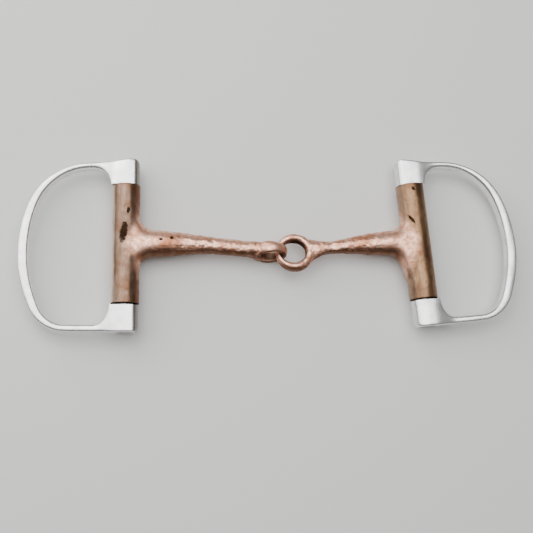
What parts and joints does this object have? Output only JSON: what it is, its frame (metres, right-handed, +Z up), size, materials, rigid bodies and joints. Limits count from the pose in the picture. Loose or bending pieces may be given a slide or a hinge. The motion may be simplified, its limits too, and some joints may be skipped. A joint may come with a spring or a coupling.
{
  "type": "dee ring snaffle bit",
  "caption": "Dee ring snaffle bit with a single-jointed copper mouthpiece and polished steel dees hinged on pins.",
  "frame": {"origin": "middle of the bounding box in plan, on the plane that the bit lies on", "axes": "+X along the mouthpiece from the left dee to the right one, +Y along the hinge pins towards the dees' sloping shoulders, +Z up"},
  "size_m": [0.2412, 0.0886, 0.0168],
  "materials": {
    "polished_steel": "polished, with fine wear",
    "pin_steel": "peened and ground flush",
    "copper": "worn, pitted, tarnished copper"
  },
  "bodies": {
    "left_arm": {"left_cannon": "copper"},
    "left_dee": {"left_dee_bow": "polished_steel", "left_hinge_pin": "pin_steel"},
    "right_arm": {"right_cannon": "copper"},
    "right_dee": {"right_dee_bow": "polished_steel", "right_hinge_pin": "pin_steel"}
  },
  "joints": [
    {"name": "left_dee_hinge", "type": "hinge", "parent": "left_arm", "child": "left_dee", "pos_m": [-0.07107, -0.00238, 0.00839], "axis": [-0.0157, 0.9999, 0], "range_deg": [-165, 165]},
    {"name": "mouth_fold", "type": "hinge", "parent": "left_arm", "child": "right_arm", "pos_m": [-0.00197, -0.00408, 0.00839], "axis": [0, 0.9848, -0.1736], "range_deg": [-90, 90]},
    {"name": "right_dee_hinge", "type": "hinge", "parent": "right_arm", "child": "right_dee", "pos_m": [0.07063, 0.00222, 0.00839], "axis": [-0.0976, 0.9952, 0], "range_deg": [-165, 165]}
  ]
}
